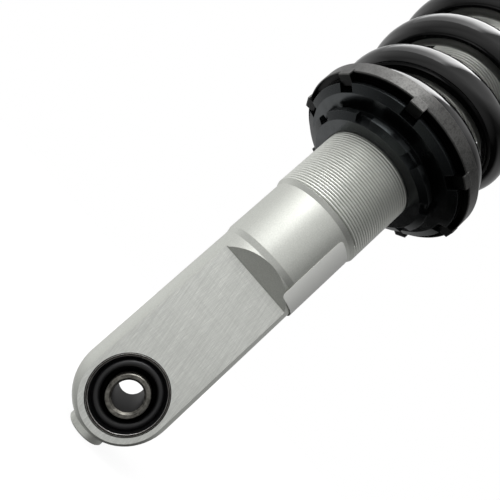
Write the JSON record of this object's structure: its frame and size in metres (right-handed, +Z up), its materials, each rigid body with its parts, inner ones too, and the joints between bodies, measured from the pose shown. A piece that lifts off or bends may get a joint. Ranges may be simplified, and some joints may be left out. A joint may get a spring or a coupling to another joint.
{
  "type": "coilover suspension strut",
  "caption": "Coilover suspension strut with a threaded alloy body, rubber-bushed lower eye, adjustable spring perch, lock ring, coil spring and studded top mount.",
  "frame": {"origin": "centre of the lower eye's bore, midway between the ends of the bush sleeve", "axes": "+Z up the strut's axis towards the top mount, +X along the lower eye's bore"},
  "size_m": [0.128, 0.1442, 0.5136],
  "materials": {
    "anodised_alloy": "satin",
    "black_alloy": "satin",
    "spring_paint": "gloss",
    "black_plate": "satin",
    "bare_steel": "satin",
    "zinc_steel": "satin",
    "chromed_rod": "polished",
    "rubber": "matte",
    "foam": "matte",
    "bearing_strip": "matte"
  },
  "bodies": {
    "damper_body": {"strut_body": "anodised_alloy", "bush_shell": "bare_steel", "bush_rubber": "rubber", "rod_guide": "anodised_alloy", "guide_bush": "bearing_strip", "guide_o_ring": "rubber", "rod_seal": "rubber", "retaining_ring": "bare_steel", "wiper_cap": "rubber"},
    "eye_sleeve": {"bush_sleeve": "bare_steel"},
    "floating_piston_group": {"floating_piston": "anodised_alloy", "floating_piston_seal": "rubber", "floating_piston_band": "bearing_strip"},
    "rod_group": {"piston_rod": "chromed_rod", "rebound_stop": "rubber", "backing_washers": "zinc_steel", "compression_shims": "zinc_steel", "piston": "bare_steel", "piston_band": "bearing_strip", "rebound_shims": "zinc_steel", "piston_nut": "zinc_steel", "bump_stop": "foam", "lower_cup_washer": "zinc_steel", "spacer_sleeve": "zinc_steel", "upper_cup_washer": "zinc_steel", "top_nut": "zinc_steel"},
    "top_mount": {"mount_plate": "black_plate", "mount_studs": "zinc_steel", "upper_spring_seat": "black_plate", "spring_isolator": "rubber", "lower_cushion": "rubber", "upper_cushion": "rubber"},
    "spring_foot": {"coil_spring": "spring_paint", "lower_spring_pad": "rubber"},
    "perch": {"perch_collar": "black_alloy", "spring_seat_ring": "black_alloy"},
    "lock_ring_group": {"lock_ring": "black_alloy"}
  },
  "joints": [
    {"name": "lower_bush_twist", "type": "hinge", "parent": "damper_body", "child": "eye_sleeve", "pos_m": [0, 0, 0], "axis": [1, 0, 0], "range_deg": [-15, 15], "stiffness_Nm_per_rad": 20},
    {"name": "damper_stroke", "type": "slide", "parent": "damper_body", "child": "rod_group", "axis": [0, 0, 1], "range_m": [-0.095, 0], "stiffness_N_per_m": 68600, "deforming": ["coil_spring"]},
    {"name": "floating_piston_slide", "type": "slide", "parent": "damper_body", "child": "floating_piston_group", "axis": [0, 0, 1], "range_m": [-0.009, 0]},
    {"name": "top_mount_turn", "type": "hinge", "parent": "rod_group", "child": "top_mount", "pos_m": [0, 0, 0.45475], "axis": [0, 0, 1], "range_deg": [-60, 60]},
    {"name": "perch_height", "type": "slide", "parent": "damper_body", "child": "spring_foot", "axis": [0, 0, 1], "range_m": [-0.012, 0]},
    {"name": "perch_turn", "type": "hinge", "parent": "spring_foot", "child": "perch", "pos_m": [0, 0, 0.1703], "axis": [0, 0, 1], "range_deg": [-2880, 0]},
    {"name": "lock_ring_backoff", "type": "slide", "parent": "spring_foot", "child": "lock_ring_group", "axis": [0, 0, 1], "range_m": [-0.006, 0]}
  ],
  "couplings": [
    {"joint": "perch_turn", "follows": "perch_height", "rad_per_m": 4188.7},
    {"joint": "floating_piston_slide", "follows": "damper_stroke", "ratio": 0.0926}
  ]
}
